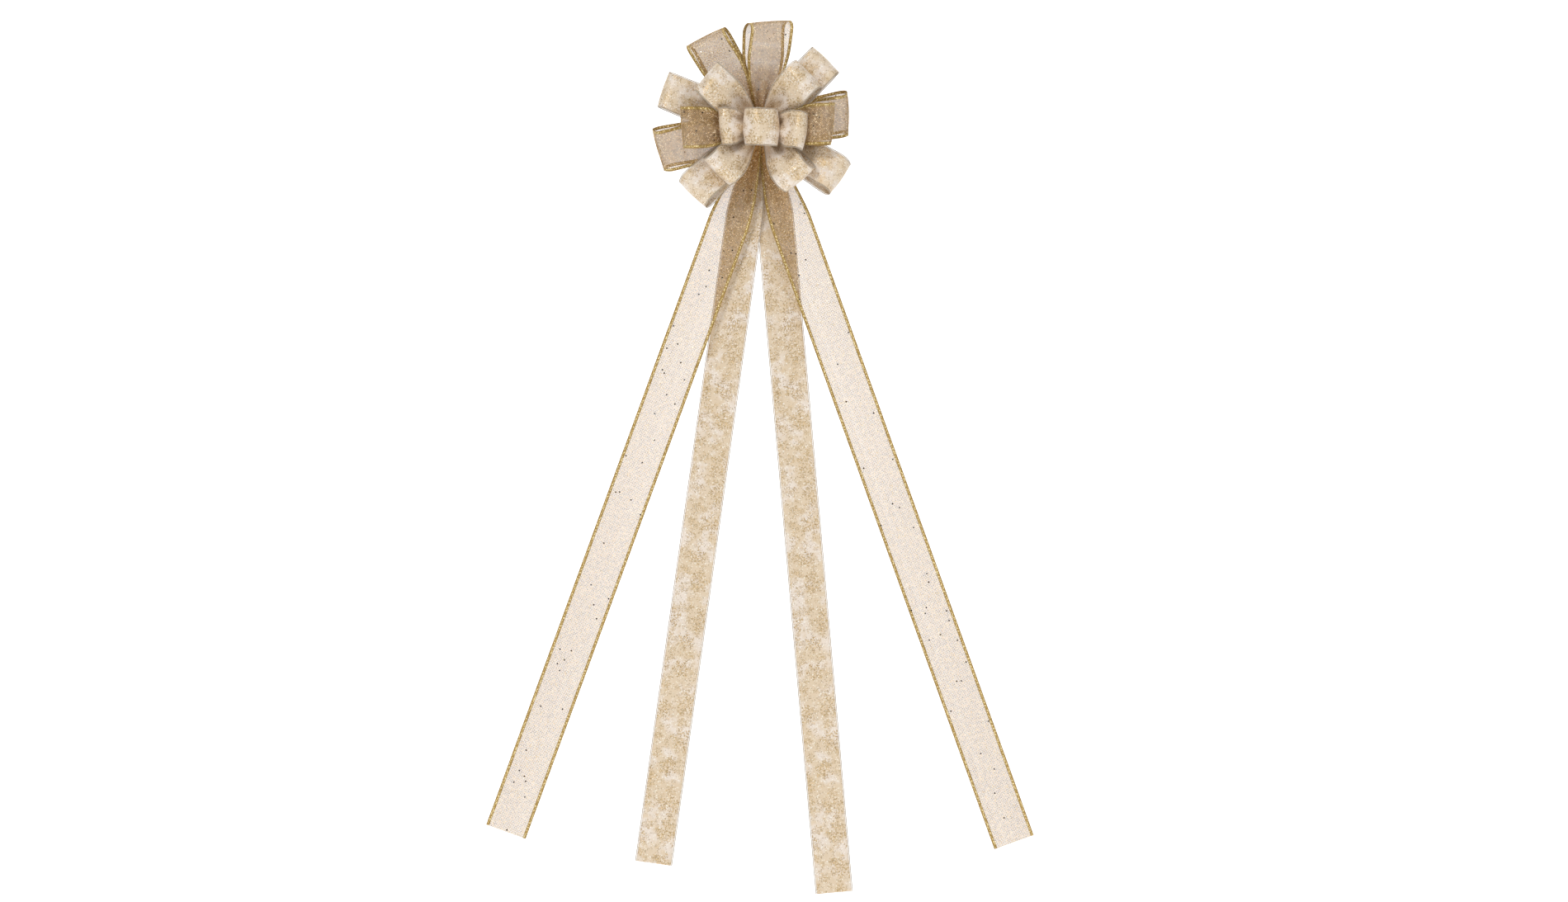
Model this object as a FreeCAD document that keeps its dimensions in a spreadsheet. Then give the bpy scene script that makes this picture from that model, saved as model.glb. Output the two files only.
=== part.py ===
"""Pre-made hanging gift bow of two wired ribbons.

The bow faces -Y and hangs from its tie, which is the origin. +Z is up and +X is to the
right as the bow is looked at. All sizes are millimetres and degrees.

A ribbon length is two pieces: the woven web, and the pair of wired edges along it.
Loops are pinched to a narrow neck at the waist. Tails hang from the twisted shank of the
tie wire, each on its own round eye, so that they can be spread and closed.
"""
import FreeCAD, Part
import math
import os
import Sketcher

doc = FreeCAD.newDocument("gift_bow")
sheet = doc.addObject("Spreadsheet::Sheet", "sizes")

# Sizes that all the ribbon lengths, or the tie, have in common.
COMMON_SIZES = [
    ("mesh_ribbon_width", 57.0, "edge to edge"),
    ("snow_ribbon_width", 50.8, "edge to edge"),
    ("ribbon_thickness", 0.6, "web of a loop, with room for its weave"),
    ("mesh_edge_width", 3.4, "gold selvedge of the mesh ribbon"),
    ("snow_edge_width", 1.8, "covered wire of the snowflake ribbon"),
    ("neck_width", 4.4, "ribbon gathered at the waist"),
    ("neck_web_width", 2.4, "web between the edges at the waist"),
    ("neck_half_gap", 1.3, "half the thickness of a loop's neck"),
    ("neck_start", 5.0, "from the bow's axis to the root of a neck, inside the waist"),
    ("hollow_start", 6.5, "from the bow's axis to where a loop's two runs part"),
    ("waist_radius", 9.0, "bundle of gathered ribbon"),
    ("waist_front", -10.0, "centre of the waist's rounded front"),
    ("waist_back", 17.0, "flat back of the waist"),
    ("tie_wire_radius", 0.6, "binding wire"),
    ("tie_turn", 11.0, "lean of the wire from upright, between the necks"),
    ("shank_radius", 1.2, "two strands of the tie, twisted together"),
    ("knot_radius", 2.2, "end of the twist, which keeps the tails on"),
    ("knot_clearance", 0.5, "from the last tail's eye to the knot"),
    ("tie_leg_length", 80.0, "free legs of the tie"),
    ("tie_leg_angle", 52.0, "a leg's rise from level, folded flat"),
    ("leg_clearance", 0.15, "between a leg's rounded root and the knot"),
    ("eye_radius", 4.0, "round eye of a tail"),
    ("eye_thickness", 1.2, "gathered ribbon of the eye"),
    ("eye_clearance", 0.05, "radial, eye on shank"),
    ("tail_thickness", 0.6, "web of a tail"),
    ("tail_edge_thickness", 0.9, "wired edge of a tail"),
    ("tail_spread", 2.4, "ribbon widths from the shank to where a tail is full width"),
    ("tail_edge_start", 6.0, "from the shank to where a tail's edges begin"),
    ("first_tail_layer", 3.0, "from the waist's back to the first tail"),
    ("tail_layer_step", 2.3, "from one tail to the next along the shank"),
]

# One row for each loop: the ribbon, its length from the axis to the tip, the radius of the
# tip, how many ribbon widths it takes to spread to full width, its direction round the bow
# from +X, its lean towards the viewer, its twist about its own length, and its layer,
# which is the place of its neck along the bow's axis.
LOOP_COLUMNS = ("length", "tip_radius", "spread", "direction", "lean", "twist", "layer")
LOOPS = [
    ("mesh_top_left", "mesh", 140, 13, 1.7, 124, 0, 0, 5.5),
    ("mesh_top", "mesh", 143, 14, 1.7, 83, 0, 0, 5.5),
    ("mesh_left_outer", "mesh", 145, 13, 1.3, 193, 0, 0, 5.5),
    ("mesh_right_outer", "mesh", 122, 13, 1.2, 6, 0, 4, 5.5),
    ("mesh_left_front", "mesh", 120, 12, 1.6, 182, 28, 0, -2),
    ("mesh_right_front", "mesh", 113, 12, 1.4, -6, 28, 0, -3),
    ("snow_far_left", "snow", 143, 13, 1.3, 161, 13, 0, 2.5),
    ("snow_upper_right", "snow", 127, 13, 1.3, 43, 13, 0, 2.5),
    ("snow_lower_left", "snow", 140, 13, 1.3, 225, 13, 4, 2.5),
    ("snow_lower_right", "snow", 134, 13, 1.3, -34, 13, -4, 2.5),
    ("snow_middle_upper_left", "snow", 108, 12, 1.5, 134, 28, 0, -3),
    ("snow_middle_upper_right", "snow", 104, 12, 1.3, 50, 28, -3, -3),
    ("snow_middle_lower_left", "snow", 102, 12, 1.4, 231, 28, 0, -3),
    ("snow_middle_lower_right", "snow", 112, 12, 1.4, -61, 28, 0, -3),
    ("snow_inner_left", "snow", 74, 9, 1.05, 182, 43, 0, -9),
    ("snow_inner_right", "snow", 82, 9, 1.05, -3, 42, 0, -9),
    ("snow_centre_ring", "snow", 58, 23, 0.6, 0, 89, 0, -12),
]

# One row for each tail: the ribbon, its length, and its lean from straight down, positive
# to the left. The rows are in their order along the shank, the foremost first.
TAIL_COLUMNS = ("length", "lean")
TAILS = [
    ("mesh_tail_left", "mesh", 1026, 19.9),
    ("mesh_tail_right", "mesh", 1040, -19.7),
    ("snow_tail_left", "snow", 1018, 8.4),
    ("snow_tail_right", "snow", 1052, -5.2),
]

TINY = 1.0  # how far a cutting shape runs past what it cuts

# From the waist's back to the knot's middle: room for every tail's eye.
SHANK_LENGTH = (f"sizes.first_tail_layer + {len(TAILS) - 1} * sizes.tail_layer_step"
                " + sizes.eye_thickness / 2 + sizes.knot_clearance + sizes.knot_radius")


def write_row(row, alias, value, meaning):
    sheet.set(f"A{row}", meaning)
    sheet.set(f"B{row}", str(value))
    sheet.setAlias(f"B{row}", alias)


def fill_sheet():
    rows = list(COMMON_SIZES)
    for name, _, *values in LOOPS:
        rows += [(f"{name}_{column}", value, column)
                 for column, value in zip(LOOP_COLUMNS, values)]
    for name, _, *values in TAILS:
        rows += [(f"{name}_{column}", value, column)
                 for column, value in zip(TAIL_COLUMNS, values)]
    for row, (alias, value, meaning) in enumerate(rows, start=1):
        write_row(row, alias, value, meaning)
    doc.recompute()


def size(alias):
    return float(getattr(sheet, alias))


def value_of(expression):
    """The number that an expression over the sheet gives now."""
    result = sheet.evalExpression(expression)
    return float(getattr(result, "Value", result))


def bind(thing, prop, expression):
    thing.setExpression(prop, expression)


def new_body(label):
    body = doc.addObject("PartDesign::Body", label)
    body.Label = label
    body.AllowCompound = True
    return body


def new_sketch(body, name, plane_role):
    sketch = body.newObject("Sketcher::SketchObject", name)
    plane = [f for f in body.Origin.OriginFeatures if f.Role == plane_role][0]
    sketch.AttachmentSupport = [(plane, "")]
    sketch.MapMode = "FlatFace"
    return sketch


def pin_number(sketch, kind, *places, expression):
    """A sketch constraint whose value is an expression over the sheet."""
    index = sketch.addConstraint(Sketcher.Constraint(kind, *places, value_of(expression)))
    bind(sketch, f"Constraints[{index}]", expression)


def pin_point(sketch, edge, end, x_expression, y_expression):
    pin_number(sketch, "DistanceX", -1, 1, edge, end, expression=x_expression)
    pin_number(sketch, "DistanceY", -1, 1, edge, end, expression=y_expression)


def add_polygon(sketch, corners):
    """A closed outline through corners given as pairs of expressions."""
    points = [FreeCAD.Vector(value_of(x), value_of(y), 0) for x, y in corners]
    first = sketch.GeometryCount
    count = len(points)
    for i in range(count):
        sketch.addGeometry(Part.LineSegment(points[i], points[(i + 1) % count]))
    for i, (x, y) in enumerate(corners):
        following = first + (i + 1) % count
        sketch.addConstraint(Sketcher.Constraint("Coincident", first + i, 2, following, 1))
        pin_point(sketch, first + i, 1, x, y)


def mirrored(corners, flip):
    """The same corners on the other side of the ribbon's middle line."""
    if flip:
        return [(x, f"-({y})") for x, y in corners]
    return corners


def extrude(body, name, sketch, length_expression):
    pad = body.newObject("PartDesign::Pad", name)
    pad.Profile = sketch
    pad.SideType = "Symmetric"
    bind(pad, "Length", length_expression)
    return pad


def cut_through(body, name, sketch):
    """A pocket both ways from its sketch, which must take something off."""
    doc.recompute()
    before = body.Shape.Volume
    pocket = body.newObject("PartDesign::Pocket", name)
    pocket.Profile = sketch
    pocket.SideType = "Symmetric"
    pocket.Type = "ThroughAll"
    doc.recompute()
    if body.Shape.Volume >= before:
        raise ValueError(f"{body.Label}: {name} cut nothing")


def tear_outline(sketch, inset, start_expression, name):
    """One closed teardrop: two straight runs, round tip, flat end.

    inset is zero for the outside of the band and its thickness for the inside. Returns
    the first edge's index: round tip, far run, near run, flat end.
    """
    tip = value_of(f"sizes.{name}_tip_radius")
    centre = value_of(f"sizes.{name}_length") - tip
    half_gap = size("neck_half_gap")
    reach = centre - size("neck_start")
    # The direction, from the tip's centre, of the point where a run meets the round tip.
    turn = math.atan2(half_gap, -reach) - math.acos(tip / math.hypot(reach, half_gap))
    radius = tip - value_of(inset)
    start = value_of(start_expression)
    start_height = (radius - (start - centre) * math.cos(turn)) / math.sin(turn)
    meet_x = centre + radius * math.cos(turn)
    meet_y = radius * math.sin(turn)
    middle = FreeCAD.Vector(centre, 0, 0)
    circle = Part.Circle(middle, FreeCAD.Vector(0, 0, 1), radius)
    arc = sketch.addGeometry(Part.ArcOfCircle(circle, -turn, turn))
    runs = []
    for side in (1, -1):
        root = FreeCAD.Vector(start, side * start_height, 0)
        meet = FreeCAD.Vector(meet_x, side * meet_y, 0)
        runs.append(sketch.addGeometry(Part.LineSegment(root, meet)))
    flat = sketch.addGeometry(Part.LineSegment(FreeCAD.Vector(start, start_height, 0),
                                               FreeCAD.Vector(start, -start_height, 0)))
    for run, arc_end, flat_end in ((runs[0], 2, 1), (runs[1], 1, 2)):
        sketch.addConstraint(Sketcher.Constraint("Tangent", arc, arc_end, run, 2))
        sketch.addConstraint(Sketcher.Constraint("Coincident", run, 1, flat, flat_end))
    pin_number(sketch, "Radius", arc, expression=f"sizes.{name}_tip_radius - {inset}")
    return arc


def band(body, ribbon_width_expression, name):
    """The loop's closed band: two runs that part from the neck and meet at a round tip."""
    sketch = new_sketch(body, f"{body.Label}_side_view", "XY_Plane")
    outer = tear_outline(sketch, "0", "sizes.neck_start", name)
    inner = tear_outline(sketch, "sizes.ribbon_thickness", "sizes.hollow_start", name)
    sketch.addConstraint(Sketcher.Constraint("PointOnObject", outer, 3, -1))
    pin_number(sketch, "DistanceX", -1, 1, outer, 3,
               expression=f"sizes.{name}_length - sizes.{name}_tip_radius")
    pin_point(sketch, outer + 1, 1, "sizes.neck_start", "sizes.neck_half_gap")
    pin_point(sketch, outer + 2, 1, "sizes.neck_start", "-sizes.neck_half_gap")
    sketch.addConstraint(Sketcher.Constraint("Coincident", inner, 3, outer, 3))
    for run in (1, 2):
        sketch.addConstraint(Sketcher.Constraint("Parallel", inner + run, outer + run))
        pin_number(sketch, "DistanceX", -1, 1, inner + run, 1,
                   expression="sizes.hollow_start")
    return extrude(body, f"{body.Label}_band", sketch, ribbon_width_expression)


def gather(name, ribbon):
    """From the bow's axis to where the loop is full width."""
    return f"(sizes.{name}_spread * sizes.{ribbon}_ribbon_width)"


def half_widths(ribbon):
    """Half widths at the neck and at full width, of the web and of the whole ribbon."""
    half = f"sizes.{ribbon}_ribbon_width / 2"
    web = ("sizes.neck_web_width / 2", f"{half} - sizes.{ribbon}_edge_width")
    whole = ("sizes.neck_width / 2", half)
    return web, whole


def loop_web(name, ribbon):
    (neck, full), _ = half_widths(ribbon)
    body = new_body(f"{name}_web_body")
    band(body, f"2 * ({full})", name)
    sketch = new_sketch(body, f"{name}_web_gather", "XZ_Plane")
    root = f"sizes.neck_start - {TINY}"
    spread = gather(name, ribbon)
    outside = f"{full} + {TINY}"
    for flip in (False, True):
        add_polygon(sketch, mirrored([(root, neck), ("sizes.neck_start", neck),
                                      (spread, full), (spread, outside),
                                      (root, outside)], flip))
    cut_through(body, f"{name}_web_taper", sketch)
    return body


def loop_edges(name, ribbon):
    (web_neck, web_full), (neck, full) = half_widths(ribbon)
    body = new_body(f"{name}_edges_body")
    band(body, f"sizes.{ribbon}_ribbon_width", name)
    root = f"sizes.neck_start - {TINY}"
    spread = gather(name, ribbon)
    outside = f"{full} + {TINY}"
    past_tip = f"sizes.{name}_length + {TINY}"
    sketch = new_sketch(body, f"{name}_edges_gather", "XZ_Plane")
    for flip in (False, True):
        add_polygon(sketch, mirrored([(root, neck), ("sizes.neck_start", neck),
                                      (spread, full), (spread, outside),
                                      (root, outside)], flip))
    cut_through(body, f"{name}_edges_taper", sketch)
    sketch = new_sketch(body, f"{name}_edges_middle", "XZ_Plane")
    upper = [(root, web_neck), ("sizes.neck_start", web_neck),
             (spread, web_full), (past_tip, web_full)]
    add_polygon(sketch, upper + mirrored(upper, True)[::-1])
    cut_through(body, f"{name}_edges_split", sketch)
    return body


def primitive(kind, label, place=(0, 0, 0), direction=(0, 0, 1), **sizes_of):
    """A Part primitive whose sizes are bound to expressions."""
    thing = doc.addObject(f"Part::{kind}", label)
    thing.Label = label
    for prop, expression in sizes_of.items():
        bind(thing, prop, expression)
    turn = FreeCAD.Rotation(FreeCAD.Vector(0, 0, 1), FreeCAD.Vector(*direction))
    thing.Placement = FreeCAD.Placement(FreeCAD.Vector(*place), turn)
    return thing


def join(label, pieces):
    joined = doc.addObject("Part::MultiFuse", label)
    joined.Label = label
    joined.Shapes = pieces
    return joined


def make_bundle():
    """The gathered ribbon of the waist: a short cylinder along Y with a rounded front."""
    front = size("waist_front")
    core = primitive("Cylinder", "waist_core", (0, front, 0), (0, 1, 0),
                     Radius="sizes.waist_radius",
                     Height="sizes.waist_back - sizes.waist_front")
    nose = primitive("Sphere", "waist_nose", (0, front, 0), (0, 0, 1),
                     Radius="sizes.waist_radius")
    return join("waist_bundle", [core, nose])


def make_tie():
    """One wire over the front of the waist and twisted into a shank behind it.

    It is pulled half its thickness into the gathered ribbon.
    """
    front = size("waist_front")
    back = size("waist_back")
    offset = size("waist_radius")
    wire = "sizes.tie_wire_radius"
    over = doc.addObject("Part::Torus", "tie_over_front")
    bind(over, "Radius1", "sizes.waist_radius")
    bind(over, "Radius2", wire)
    over.Angle3 = 180
    # The half ring lies in the YZ plane with its round side towards -Y.
    turn = FreeCAD.Rotation(FreeCAD.Vector(0, 0, 1), FreeCAD.Vector(0, -1, 0),
                            FreeCAD.Vector(1, 0, 0), "ZYX")
    over.Placement = FreeCAD.Placement(FreeCAD.Vector(0, front, 0), turn)
    pieces = [over]
    for side, word in ((1, "upper"), (-1, "lower")):
        pieces.append(primitive("Cylinder", f"tie_side_{word}", (0, front, side * offset),
                                (0, 1, 0), Radius=wire,
                                Height="sizes.waist_back - sizes.waist_front"))
        pieces.append(primitive("Sphere", f"tie_corner_{word}", (0, back, side * offset),
                                Radius=wire))
        pieces.append(primitive("Cylinder", f"tie_back_{word}", (0, back, 0),
                                (0, 0, side), Radius=wire,
                                Height="sizes.waist_radius"))
    pieces.append(primitive("Cylinder", "tie_shank", (0, back, 0), (0, 1, 0),
                            Radius="sizes.shank_radius", Height=SHANK_LENGTH))
    pieces.append(primitive("Sphere", "tie_knot", (0, knot_place(), 0), Radius="sizes.knot_radius"))
    tie = join("tie_wire", pieces)
    lean = FreeCAD.Rotation(FreeCAD.Vector(0, 1, 0), -size("tie_turn"))
    tie.Placement = FreeCAD.Placement(FreeCAD.Vector(0, 0, 0), lean)
    return tie


def knot_place():
    return size("waist_back") + value_of(SHANK_LENGTH)


def make_leg(side, word):
    """A free leg of the tie, folded flat behind the bow, with a rounded root."""
    rise = math.radians(size("tie_leg_angle"))
    along = FreeCAD.Vector(side * math.cos(rise), 0, math.sin(rise))
    from_knot = size("knot_radius") + size("tie_wire_radius") + size("leg_clearance")
    root = FreeCAD.Vector(0, knot_place(), 0) + along * from_knot
    end = root + along * size("tie_leg_length")
    rod = primitive("Cylinder", f"tie_leg_{word}_rod", root, along,
                    Radius="sizes.tie_wire_radius", Height="sizes.tie_leg_length")
    ends = [primitive("Sphere", f"tie_leg_{word}_{name}", place,
                      Radius="sizes.tie_wire_radius")
            for name, place in (("root", root), ("tip", end))]
    return join(f"tie_leg_{word}", [rod] + ends)


def loop_placement(name):
    """From along X, open towards Y and wide in Z, to the loop's place on the bow."""
    turn = (FreeCAD.Rotation(FreeCAD.Vector(0, 1, 0), -size(f"{name}_direction"))
            * FreeCAD.Rotation(FreeCAD.Vector(0, 0, 1), -size(f"{name}_lean"))
            * FreeCAD.Rotation(FreeCAD.Vector(1, 0, 0), size(f"{name}_twist")))
    return FreeCAD.Placement(FreeCAD.Vector(0, size(f"{name}_layer"), 0), turn)


def cut(label, base, tool):
    node = doc.addObject("Part::Cut", label)
    node.Label = label
    node.Base = base
    node.Tool = tool
    return node


def make_loops(seat):
    """Every loop, with the waist and the tie taken out of its neck."""
    nodes = []
    for name, ribbon, *_ in LOOPS:
        for part, make in (("web", loop_web), ("edges", loop_edges)):
            body = make(name, ribbon)
            body.Placement = loop_placement(name)
            nodes.append(cut(f"{name}_loop_{part}", body, seat))
    return nodes


def tail_gather(ribbon):
    """From the shank's axis to where a tail is full width."""
    return f"(sizes.tail_spread * sizes.{ribbon}_ribbon_width)"


def tail_web(name, ribbon):
    (neck, full), _ = half_widths(ribbon)
    body = new_body(f"{name}_web")
    end = f"-sizes.{name}_length"
    sketch = new_sketch(body, f"{name}_web_outline", "XZ_Plane")
    right = [(neck, "0"), (full, f"-{tail_gather(ribbon)}"), (full, end)]
    left = [(f"-({x})", y) for x, y in right]
    add_polygon(sketch, right + left[::-1])
    extrude(body, f"{name}_web_strip", sketch, "sizes.tail_thickness")
    for word, radius in (("eye", "sizes.eye_radius"),
                         ("hole", "sizes.shank_radius + sizes.eye_clearance")):
        sketch = new_sketch(body, f"{name}_{word}_outline", "XZ_Plane")
        ring = Part.Circle(FreeCAD.Vector(0, 0, 0), FreeCAD.Vector(0, 0, 1), value_of(radius))
        circle = sketch.addGeometry(ring)
        sketch.addConstraint(Sketcher.Constraint("Coincident", circle, 3, -1, 1))
        pin_number(sketch, "Radius", circle, expression=radius)
        if word == "eye":
            extrude(body, f"{name}_eye", sketch, "sizes.eye_thickness")
        else:
            cut_through(body, f"{name}_eye_hole", sketch)
    return body


def tail_edges(name, ribbon):
    (web_neck, web_full), (neck, full) = half_widths(ribbon)
    body = new_body(f"{name}_edges")
    start = "sizes.tail_edge_start"
    spread = tail_gather(ribbon)
    share = f"({start} / {spread})"
    at_start = [f"({low}) + (({high}) - ({low})) * {share}"
                for low, high in ((web_neck, web_full), (neck, full))]
    end = f"-sizes.{name}_length"
    strip = [(at_start[0], f"-{start}"), (at_start[1], f"-{start}"),
             (full, f"-{spread}"), (full, end),
             (web_full, end), (web_full, f"-{spread}")]
    sketch = new_sketch(body, f"{name}_edges_outline", "XZ_Plane")
    add_polygon(sketch, strip)
    add_polygon(sketch, [(f"-({x})", y) for x, y in strip])
    extrude(body, f"{name}_edges_strip", sketch, "sizes.tail_edge_thickness")
    return body


def make_tails():
    nodes = []
    for order, (name, ribbon, *_) in enumerate(TAILS):
        layer = (size("waist_back") + size("first_tail_layer")
                 + order * size("tail_layer_step"))
        lean = FreeCAD.Rotation(FreeCAD.Vector(0, 1, 0), size(f"{name}_lean"))
        for make in (tail_web, tail_edges):
            body = make(name, ribbon)
            body.Placement = FreeCAD.Placement(FreeCAD.Vector(0, layer, 0), lean)
            nodes.append(body)
    return nodes


def check_document():
    for thing in doc.Objects:
        if "Invalid" in thing.State or "Error" in thing.State:
            raise ValueError(f"{thing.Label} did not build: {thing.State}")


def check_node(node):
    shape = node.Shape
    if shape.isNull() or not shape.isValid() or not shape.Solids:
        raise ValueError(f"{node.Label} is not a valid solid")


fill_sheet()
bundle = make_bundle()
tie = make_tie()
waist = cut("gathered_waist", bundle, tie)
seat = join("waist_and_tie", [bundle, tie])
legs = [make_leg(-1, "left"), make_leg(1, "right")]
nodes = [waist, tie] + legs + make_loops(seat) + make_tails()
doc.recompute()
check_document()
os.makedirs("parts", exist_ok=True)
for node in nodes:
    check_node(node)
    node.Shape.exportStep(f"parts/{node.Label}.step")
print(f"{len(nodes)} nodes written")
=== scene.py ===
# %% [markdown]
# # A pre-made hanging gift bow
#
# The bow is two wired ribbons: a sheer mesh with gold edges, and a slightly narrower cream
# ribbon printed with glitter snowflakes. Every loop and tail is a length of one of them,
# pinched at the waist and held by a wire tie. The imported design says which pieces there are
# and how big the whole is, so this first cell loads it. Everything is built in metres.

# %% Load the design
import math
import random

import bmesh
import bpy
import numpy as np
from mathutils import Matrix, Vector


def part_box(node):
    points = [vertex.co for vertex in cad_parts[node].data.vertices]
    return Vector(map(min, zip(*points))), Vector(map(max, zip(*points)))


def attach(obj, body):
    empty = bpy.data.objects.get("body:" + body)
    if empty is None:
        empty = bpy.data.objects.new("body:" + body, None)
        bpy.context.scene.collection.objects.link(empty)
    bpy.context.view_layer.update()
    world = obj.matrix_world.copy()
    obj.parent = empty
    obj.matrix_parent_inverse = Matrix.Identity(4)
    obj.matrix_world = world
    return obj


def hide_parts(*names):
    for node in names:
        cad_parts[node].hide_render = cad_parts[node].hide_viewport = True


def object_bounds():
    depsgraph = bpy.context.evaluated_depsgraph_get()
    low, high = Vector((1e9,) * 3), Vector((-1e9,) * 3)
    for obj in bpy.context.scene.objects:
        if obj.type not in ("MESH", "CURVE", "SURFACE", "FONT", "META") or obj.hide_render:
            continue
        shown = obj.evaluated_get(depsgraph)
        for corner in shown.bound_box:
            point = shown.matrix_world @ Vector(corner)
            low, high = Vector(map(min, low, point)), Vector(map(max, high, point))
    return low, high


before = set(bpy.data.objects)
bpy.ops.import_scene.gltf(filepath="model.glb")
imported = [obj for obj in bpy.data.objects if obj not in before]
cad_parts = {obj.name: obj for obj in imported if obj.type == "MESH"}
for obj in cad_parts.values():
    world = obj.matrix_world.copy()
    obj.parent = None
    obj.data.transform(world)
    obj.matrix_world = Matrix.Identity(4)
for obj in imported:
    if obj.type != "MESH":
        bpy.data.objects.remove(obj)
cad_low, cad_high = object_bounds()
print("design box", [round(v, 3) for v in (*cad_low, *cad_high)])

MM = 0.001

# %% [markdown]
# ## The ribbon's own sizes
#
# A ribbon is a flat strip, so its width never changes: it only gathers into pleats where it
# is pinched. These are the sizes of the cloth itself, which every loop and tail shares.

# %% Ribbon sizes
RIBBON_WIDTH = {"mesh": 57.0 * MM, "snow": 50.8 * MM}
GOLD_EDGE = 3.6 * MM        # flat metallic selvedge of the mesh ribbon
CREAM_EDGE = 1.4 * MM       # covered wire of the snowflake ribbon
NECK_WIDTH = 5.0 * MM       # the gathered ribbon where it goes into the waist
NECK_REACH = 8.0 * MM       # from the bow's axis to where a loop leaves the waist
TAIL_SPREAD = 2.4           # ribbon widths from the tie to where a tail is full width
NET_PITCH = 3.2 * MM        # from one diamond of the net to the next
STRAND_RADIUS = 0.30 * MM
SNOW_CLOTH_THICKNESS = 0.25 * MM
BAND_THICKNESS = 0.55 * MM
CLOTH_COLUMNS = 24          # points across a ribbon's cloth

# %% [markdown]
# ## Where each loop and tail is
#
# One row for each loop. The first eight columns are its place: length from the bow's axis
# to the tip, radius of the tip, how many ribbon widths it takes to spread, direction round
# the bow, lean towards the viewer, twist along its own length, and layer along the axis.
# The rest are only looks: how far it bellies, how much its edges cup, how far the front run
# slips sideways over the back one, how far its tip tilts and drops across the width, how
# many folds it gathers into and where they start, and how fast they deepen.

# %% Loops and tails
LOOP_COLUMNS = ("ribbon", "length", "tip", "spread", "direction", "lean", "twist", "layer",
                "belly", "cup", "slip", "tilt", "drop", "folds", "phase", "depth")
LOOPS = {
    "mesh_top_left": ("mesh", 147, 13, 1.7, 120.5, 0, -5, 5.5,
                      0.4, 1.5, 2.5, 2, 0, 3.0, 0.5, 0.1),
    "mesh_top": ("mesh", 147, 13, 1.7, 85.5, 0, 5, 5.5,
                 0.4, 1.2, -5.5, -4.5, 0, 2.5, 2.2, 0.08),
    "mesh_left_outer": ("mesh", 143, 14, 1.4, 192, 0, -8, 5.5,
                        0.5, 1.4, 3, -2.7, 0, 2.5, 1.1, 0.1),
    "mesh_right_outer": ("mesh", 123, 14, 1.3, 10, 0, 8, 5.5,
                         0.5, 1.4, -3, 5, 0, 2.5, 3.0, 0.1),
    "mesh_left_front": ("mesh", 118, 13, 1.6, 182, 28, 6, -2,
                        0.5, 1.2, 2.5, 0, 0, 2.0, 0.9, 0.1),
    "mesh_right_front": ("mesh", 111, 13, 1.4, 1, 28, -6, -3,
                         0.5, 1.2, -2, 1, 0, 2.0, 2.0, 0.1),
    "snow_far_left": ("snow", 145, 14, 1.4, 159, 13, 8, 2.5,
                      0.5, 1.4, 2, 0, 0, 2.0, 0.3, 0.12),
    "snow_upper_right": ("snow", 132, 14, 1.4, 45.5, 13, -6, 2.5,
                         0.5, 1.4, -1.5, 0, 0, 2.0, 1.3, 0.1),
    "snow_lower_left": ("snow", 134, 14, 1.4, 225, 13, 7, 2.5,
                        0.5, 1.4, -2, 0, 0, 2.0, 2.3, 0.12),
    "snow_lower_right": ("snow", 135, 14, 1.4, -33, 13, -7, 2.5,
                         0.5, 1.4, 2, 0, 0, 2.0, 0.6, 0.1),
    "snow_middle_upper_left": ("snow", 110, 15, 1.4, 137.5, 28, 10, -3,
                               0.7, 1.8, 3, 0, 0, 1.4, 0.2, 0.3),
    "snow_middle_upper_right": ("snow", 108, 14, 1.3, 47, 28, -5, -3,
                                0.6, 1.6, 1, 0, 0, 1.5, 3.4, 0.16),
    "snow_middle_lower_left": ("snow", 97, 14, 1.4, 228, 28, -6, -3,
                               0.6, 1.6, 2, 0, 0, 1.5, 1.0, 0.14),
    "snow_middle_lower_right": ("snow", 104, 14, 1.4, -54.5, 28, 8, -3,
                                0.6, 1.8, -3, 0, 0, 1.4, 2.8, 0.28),
    "snow_inner_left": ("snow", 71, 10, 1.1, 182, 43, 3, -9,
                        0.7, 1.2, 1, 0, 0, 1.5, 1.2, 0.08),
    "snow_inner_right": ("snow", 82, 10, 1.1, -8.5, 42, -3, -9,
                         0.7, 2.4, 1, -1.5, 0, 1.5, 2.6, 0.1),
    "snow_centre_ring": ("snow", 58, 23.5, 0.6, 0, 87, 0, -12,
                         1.0, 3.0, 1, 0, -3.5, 1.5, 0.9, 0.03),
}
TAIL_COLUMNS = ("ribbon", "length", "lean", "aside", "fan", "wave", "cup")
TAILS = {
    "mesh_tail_left": ("mesh", 1026, 20.1, 3.5, -4, 1.0, 1.2),
    "mesh_tail_right": ("mesh", 1040, -19.8, -3.5, -2, 1.0, 1.2),
    "snow_tail_left": ("snow", 1020, 8.0, -5.0, 3, 0.8, 0.8),
    "snow_tail_right": ("snow", 1055, -5.0, 10.0, 6, 0.8, 0.8),
}


def row_of(table, columns, name):
    return dict(zip(columns, table[name]))


print(len(LOOPS), "loops and", len(TAILS), "tails")

# %% [markdown]
# ## The line that a loop follows
#
# Seen from the side a loop is a teardrop: the ribbon leaves the waist, bellies out, turns
# over a round tip and comes back. Four cubic curves joined smoothly draw it. A ribbon
# doesn't stretch, so the line is then divided into equal lengths.


# %% Teardrop seen from the side
QUARTER_CIRCLE = 0.552      # pull of a cubic curve that follows a quarter circle


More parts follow.
